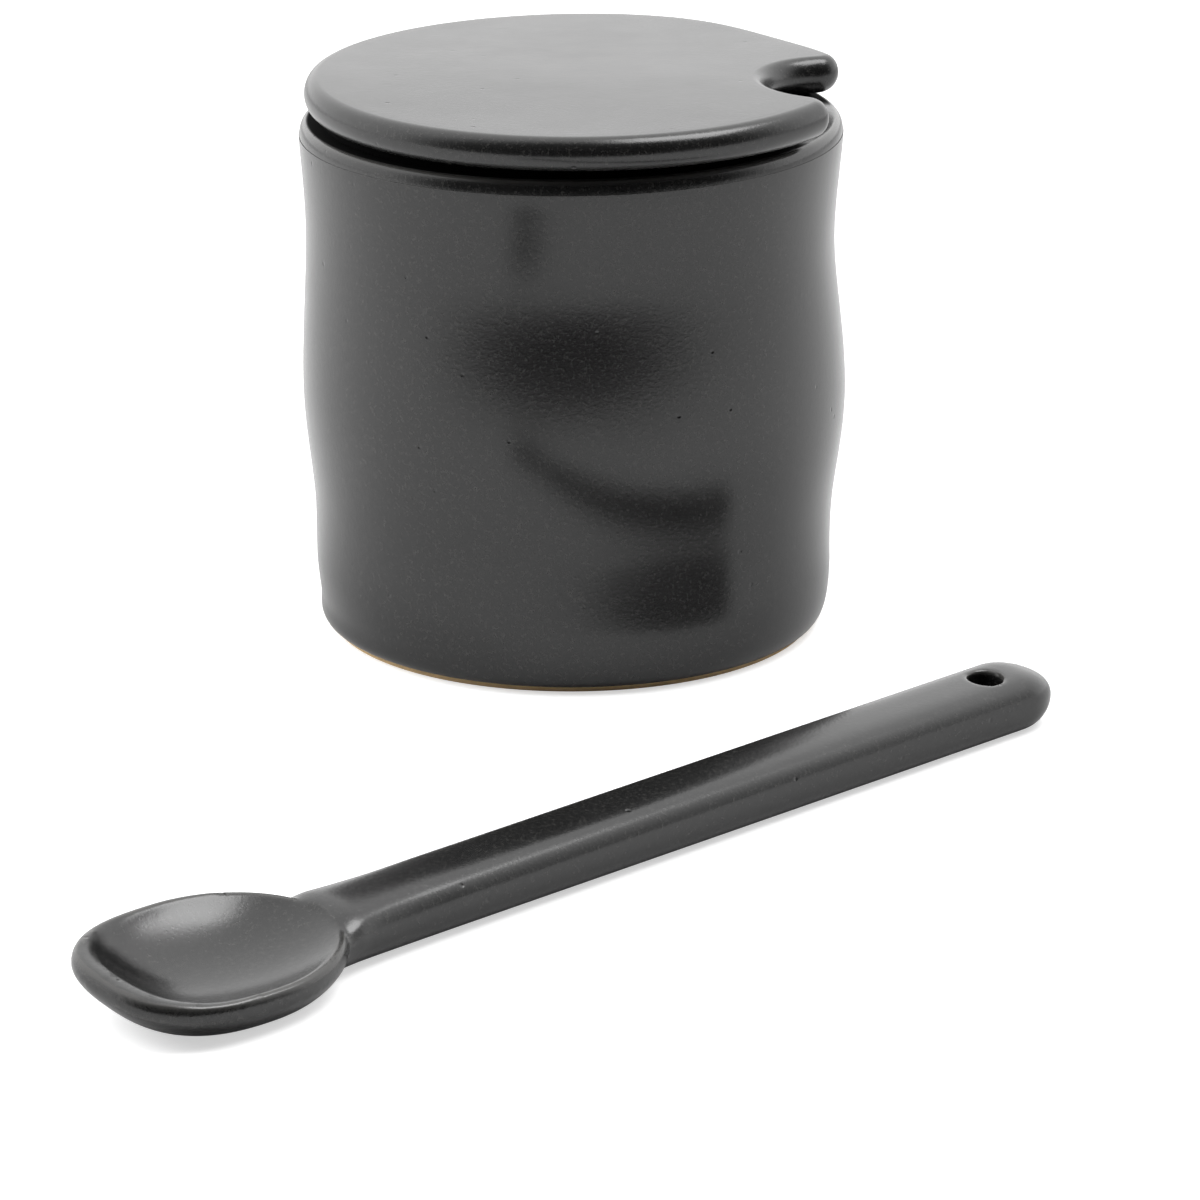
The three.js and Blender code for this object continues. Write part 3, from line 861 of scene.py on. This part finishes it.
@dataclass
class Spoon:
    """The spoon: an egg-shaped bowl run into a thick handle, as wet clay is smoothed together.

    Its tip is 0.02 mm shorter than the solid's, so that this finer bowl stays inside the solid's box.
    """

    tip_length: float = 18.08
    neck_length: float = 18.5
    half_width: float = 13.9
    bluntness: float = 2.65
    bowl_height: float = 7.2
    tip_lift: float = 0.2
    bowl_rise: float = 0.3
    bowl_twist: float = 2.6
    base_width: float = 7.0
    base_shift: float = 0.8
    bowl_fullness: float = 0.86
    lip: float = 1.3
    tip_lip: float = 2.9
    lip_round: float = 1.1
    bowl_floor: float = 3.2
    dish_shift: float = 5.0
    dish_fullness: float = 0.6
    length: float = 171.0
    handle_width: float = 11.9
    handle_thickness: float = 8.2
    neck_squareness: float = 2.6
    end_squareness: float = 3.2
    neck_flare: float = 4.1
    neck_reach: float = 6.5
    neck_dip: float = 1.8
    end_round: float = 7.5
    hole_diameter: float = 5.0
    hole_from_end: float = 12.0
    hole_height: float = 20.0
    roll: float = 5.0
    bed: float = 0.6
    angle: float = 43.2
    gap: float = 38.2
    setback: float = 134.8
    voxel: float = 0.32
    smoothing: int = 14
    soft_smoothing: int = 110
    tip_soft: tuple[float, float] = (2.0, 9.0)
    lip_soft: tuple[float, float] = (0.86, 0.97)
    neck_soft: tuple[float, float] = (0.0, 3.0)
    neck_firm: tuple[float, float] = (9.0, 20.0)
    egg_steps: int = 120
    hole_steps: int = 48

    def egg(self, name: str, profile: list[tuple], lip: float, tip_lip: float,
            shift: float) -> bpy.types.Object:
        """Turn a profile whose radius runs to 1 and press it into the bowl's egg shape.

        Args:
            name: Name of the new object.
            profile: Share of the radius, and height in millimetres, of each point.
            lip: Width taken off the sides and the neck.
            tip_lip: Width taken off the tip.
            shift: Distance that the middle lies towards the neck.

        Returns:
            A closed mesh in the spoon's own frame.
        """
        piece = turned(name, profile, self.egg_steps)
        points = points_of(piece)
        radius = np.hypot(points[:, 0], points[:, 1])
        angle = np.arctan2(points[:, 1], points[:, 0])
        cosine, sine = np.cos(angle), np.sin(angle)
        power = np.where(cosine < 0, 2 / self.bluntness, 1.0)
        reach = np.where(cosine < 0, self.tip_length - tip_lip, self.neck_length - lip)
        points[:, 0] = radius * reach * np.sign(cosine) * np.abs(cosine) ** power + shift * (1 - radius)
        points[:, 1] = radius * (self.half_width - lip) * np.sign(sine) * np.abs(sine) ** power
        towards_tip = np.maximum(-points[:, 0] / self.tip_length, 0)
        points[:, 2] *= 1 + self.tip_lift / self.bowl_height * towards_tip ** 2
        points[:, 2] += self.bowl_rise * smooth_step(-points[:, 0], -self.neck_length / 3, self.tip_length)
        points[:, 2] += points[:, 1] * math.tan(math.radians(self.bowl_twist))
        move_points(piece, points)
        return piece

    def hull(self) -> bpy.types.Object:
        """Make the outside of the bowl as a closed solid."""
        top, brow = self.bowl_height, self.bowl_height - 2 * self.lip_round
        base = self.base_width / 2 / self.half_width
        profile = [(0, 0), (base, 0)]
        profile += bend((base, 0), (self.bowl_fullness, 0), (1, brow), 2 * ROUND_STEPS)
        profile += bend((1, brow), (1, top), (1 - self.lip_round / self.half_width, top))
        return self.egg("stoneware_spoon", [*profile, (0, top)], 0, 0, self.base_shift)

    def dish(self) -> bpy.types.Object:
        """Make the hollow of the bowl as a closed solid."""
        top, floor = self.bowl_height, self.bowl_floor
        profile = [(0, floor), *bend((0, floor), (self.dish_fullness, floor), (1, top), 3 * ROUND_STEPS)]
        profile += [(1, 2 * top), (0, 2 * top)]
        return self.egg("dish", profile, self.lip, self.tip_lip, -self.dish_shift)

    def handle(self, end: float) -> bpy.types.Object:
        """Loft the handle from inside the bowl to its rounded end.

        Args:
            end: Distance from the bowl's centre to the handle's end.

        Returns:
            A closed mesh in the spoon's own frame.
        """
        start = self.neck_length - self.neck_reach
        straight, rounded, sides = 70, 14, 64
        crowding, last_turn = 1.4, 0.49 * math.pi
        around = np.linspace(0, 2 * math.pi, sides, endpoint=False)
        rings = []
        for i in range(straight + rounded + 1):
            along = min(i / straight, 1) ** crowding
            turn = max(i - straight, 0) / rounded * last_turn
            x = start + along * (end - self.end_round - start) + self.end_round * math.sin(turn)
            flare = self.neck_flare * math.exp(-(x - start) / self.neck_reach)
            rise = smooth_step(np.array(x), start, self.neck_length + self.neck_reach / 3)
            thickness = self.handle_thickness - self.neck_dip * (1 - float(rise))
            squareness = self.neck_squareness + along * (self.end_squareness - self.neck_squareness)
            power = 2 / (squareness + math.sin(turn) * (2 - squareness))
            shrink = math.cos(turn)
            height = (1 + np.sign(np.sin(around)) * np.abs(np.sin(around)) ** power * shrink) / 2
            half = (self.handle_width / 2 + flare * height) * shrink
            across = np.sign(np.cos(around)) * np.abs(np.cos(around)) ** power * half
            rings.append(np.column_stack([np.full(len(around), x), across, thickness * height]))
        return skin("handle", rings, rings[0].mean(axis=0), rings[-1].mean(axis=0))

    def clay_form(self) -> bpy.types.Object:
        """Join bowl and handle, hollow the bowl, bore the hole and smooth it all like wet clay.

        Returns:
            A closed mesh in the spoon's own frame.
        """
        end = self.length - self.tip_length
        bore, tall = self.hole_diameter / 2, self.hole_height
        hole = turned("hole", [(0, -tall), (bore, -tall), (bore, tall), (0, tall)], self.hole_steps)
        move_points(hole, points_of(hole) + [end - self.hole_from_end, 0, 0])
        tools = [(self.handle(end), Cut.JOIN), (self.dish(), Cut.TAKE), (hole, Cut.TAKE)]
        piece = combine(self.hull(), tools)
        grid = piece.modifiers.new("clay", "REMESH")
        grid.mode, grid.voxel_size = "VOXEL", self.voxel * MM
        wipe = piece.modifiers.new("wiped", "SMOOTH")
        wipe.factor, wipe.iterations = WIPE_FACTOR, self.smoothing
        with_outward_faces(made_plain(piece))
        self.soften(piece)
        return piece

    def soften(self, piece: bpy.types.Object) -> None:
        """Round the inner edge of the lip at the tip and the ridge at the neck, as a wet thumb does.

        Args:
            piece: The smoothed spoon in its own frame.
        """
        points = points_of(piece)
        shares = np.abs(points[:, :2] / [self.tip_length, self.half_width]) ** self.bluntness
        reach = shares.sum(axis=1) ** (1 / self.bluntness)
        share = smooth_step(-points[:, 0], *self.tip_soft) * (1 - smooth_step(reach, *self.lip_soft))
        past_neck = points[:, 0] - self.neck_length
        share += smooth_step(past_neck, *self.neck_soft) * (1 - smooth_step(past_neck, *self.neck_firm))
        share *= points[:, 2] > self.bowl_floor
        group = piece.vertex_groups.new(name="wiped")
        for index in np.nonzero(share)[0]:
            group.add([int(index)], float(share[index]), "REPLACE")
        wipe = piece.modifiers.new("wiped", "SMOOTH")
        wipe.factor, wipe.iterations, wipe.vertex_group = WIPE_FACTOR, self.soft_smoothing, group.name
        made_plain(piece)
        piece.vertex_groups.clear()

    def build(self, glaze: StonewareGlaze, jar: Jar) -> bpy.types.Object:
        """Make the spoon, lay it beside the jar and dress it.

        Args:
            glaze: Finish of the spoon.
            jar: The jar that it lies beside.

        Returns:
            The spoon as one closed mesh.
        """
        piece = self.clay_form()
        piece.data.transform(Matrix.Rotation(math.radians(self.roll), 4, "X"))
        points = points_of(piece)
        points[:, 2] = np.maximum(points[:, 2] - points[:, 2].min() - self.bed, 0)
        move_points(piece, points)
        aside = Matrix.Translation((-self.setback * MM, -(jar.shoulder_radius + self.gap) * MM, 0))
        piece.data.transform(Matrix.Rotation(math.radians(self.angle), 4, "Z") @ aside)
        piece.data.materials.append(glaze.material())
        return dress(piece, "spoon")


@dataclass(frozen=True)
class Lamp:
    """A square soft lamp, in metres and watts; only a mirrored one shows in the glazes."""

    name: str
    place: tuple[float, float, float]
    aim: tuple[float, float, float]
    width: float
    power: float
    mirrored: bool


@dataclass
class Studio:
    """White table, soft lamps above right and at the left, a pale room behind the set, and the camera."""

    focal: float = 5223.05
    image_width: float = 1200.0
    camera_place: tuple[float, float, float] = (0.0, -0.750, 0.25525)
    camera_pitch: float = 0.32591
    camera_yaw: float = 0.00567
    table_front: float = 0.34
    table_size: float = 6.0
    paper_colour: str = "#d2d2d2"
    paper_glow: float = 0.56
    mirrored_glow: float = 0.03
    room_left: float = -0.28
    room_dim_from: float = -0.42
    room_pale_from: float = 0.27
    room_dim: float = 0.02
    room_pale: float = 2.1
    lamps: tuple[Lamp, ...] = (
        Lamp("lamp_above", (0.36, -0.05, 0.9), (0, -0.1, 0.0), 0.5, 5.7, True),
        Lamp("lamp_left", (-0.9, 0.1, 0.7), (-0.15, -0.1, 0.0), 0.9, 13.5, False),
    )

    def add_camera(self) -> None:
        """Set the camera at the photograph's place and lens."""
        lens = bpy.data.cameras.new("camera")
        lens.sensor_width = 36.0
        lens.lens = self.focal / self.image_width * lens.sensor_width
        lens.clip_start = 0.01
        camera = bpy.data.objects.new("camera", lens)
        camera.location = self.camera_place
        camera.rotation_euler = (math.pi / 2 - self.camera_pitch, 0, -self.camera_yaw)
        bpy.context.scene.collection.objects.link(camera)
        bpy.context.scene.camera = camera

    def add_table(self) -> None:
        """Lay the white table that carries the set and keeps its shadow."""
        half, front = self.table_size / 2, -self.table_front
        mesh = bpy.data.meshes.new("table")
        corners = [(-half, front, 0), (half, front, 0), (half, half, 0), (-half, half, 0)]
        mesh.from_pydata(corners, [], [(0, 1, 2, 3)])
        table = add_object("table", mesh)
        # Matt backdrop paper. Its glow whitens it to the camera, as a long exposure does. The glazes mirror
        # little of that glow, because they stay dark in the photograph.
        paper = bpy.data.materials.new("white_paper")
        paper.use_nodes = True
        tree = paper.node_tree
        tree.nodes.clear()
        rays = add_node(tree, "ShaderNodeLightPath")
        seen = add_node(tree, "ShaderNodeMath", {"operation": "MAXIMUM"},
                        {0: rays["Is Camera Ray"], 1: rays["Is Transmission Ray"]})[0]
        lift = add_node(tree, "ShaderNodeMath", {"operation": "MULTIPLY", 1: self.paper_glow}, {0: seen})[0]
        lift = add_node(tree, "ShaderNodeMath", {"operation": "MULTIPLY_ADD", 1: self.mirrored_glow},
                        {0: rays["Is Glossy Ray"], 2: lift})[0]
        glow = add_node(tree, "ShaderNodeEmission", {"Color": linear("#ffffff")}, {"Strength": lift})[0]
        matt = add_node(tree, "ShaderNodeBsdfDiffuse", {"Color": linear(self.paper_colour)})[0]
        both = add_node(tree, "ShaderNodeAddShader", links={0: matt, 1: glow})[0]
        add_node(tree, "ShaderNodeOutputMaterial", links={"Surface": both})
        mesh.materials.append(paper)

    def add_lamp(self, lamp: Lamp) -> None:
        """Hang one soft lamp.

        Args:
            lamp: The lamp to hang.
        """
        light = bpy.data.lights.new(lamp.name, "AREA")
        light.shape, light.size, light.energy = "SQUARE", lamp.width, lamp.power
        hung = bpy.data.objects.new(lamp.name, light)
        hung.location = lamp.place
        x, y, z = np.array(lamp.aim) - np.array(lamp.place)
        hung.rotation_euler = (math.atan2(math.hypot(x, y), -z), 0, math.atan2(y, x) - math.pi / 2)
        hung.visible_camera = False
        hung.visible_glossy = lamp.mirrored
        bpy.context.scene.collection.objects.link(hung)

    def add_room(self) -> None:
        """Make the room: white to the camera, pale behind the set and at its left, dim in front of it."""
        world = bpy.data.worlds.new("room")
        world.use_nodes = True
        tree = world.node_tree
        tree.nodes.clear()
        way = add_node(tree, "ShaderNodeTexCoord")["Generated"]
        parts = add_node(tree, "ShaderNodeSeparateXYZ", links={0: way})
        left = add_node(tree, "ShaderNodeMath", {"operation": "MINIMUM", 1: 0.0}, {0: parts["X"]})[0]
        depth = add_node(tree, "ShaderNodeMath", {"operation": "MULTIPLY_ADD", 1: self.room_left},
                         {0: left, 2: parts["Y"]})[0]
        pale = add_node(tree, "ShaderNodeMapRange", {
            "interpolation_type": "SMOOTHSTEP", "From Min": self.room_dim_from,
            "From Max": self.room_pale_from, "To Min": self.room_dim, "To Max": self.room_pale},
            {"Value": depth})["Result"]
        room = add_node(tree, "ShaderNodeBackground", links={"Strength": pale})[0]
        white = add_node(tree, "ShaderNodeBackground", {"Color": linear("#ffffff"), "Strength": 1.0})[0]
        rays = add_node(tree, "ShaderNodeLightPath")
        both = add_node(tree, "ShaderNodeMixShader", links={0: rays["Is Camera Ray"], 1: room, 2: white})[0]
        add_node(tree, "ShaderNodeOutputWorld", links={"Surface": both})
        bpy.context.scene.world = world

    def build(self) -> None:
        """Set up the camera, table, lamps and room."""
        bpy.context.scene.view_settings.view_transform = "Standard"
        self.add_camera()
        self.add_table()
        for lamp in self.lamps:
            self.add_lamp(lamp)
        self.add_room()


def main() -> None:
    """Build the set piece by piece."""
    logging.basicConfig(level=logging.INFO, format="%(name)s %(message)s")
    jar = Jar()
    jar.build(StonewareGlaze("satin_black_stoneware_glaze_jar", roughness=0.21, bare_height=0.85))
    Lid().build(StonewareGlaze("satin_black_stoneware_glaze_lid", roughness=0.25, swell_depth=0.06), jar)
    Spoon().build(StonewareGlaze("satin_black_stoneware_glaze_spoon", roughness=0.23), jar)
    Studio().build()


if __name__ == "__main__":
    main()
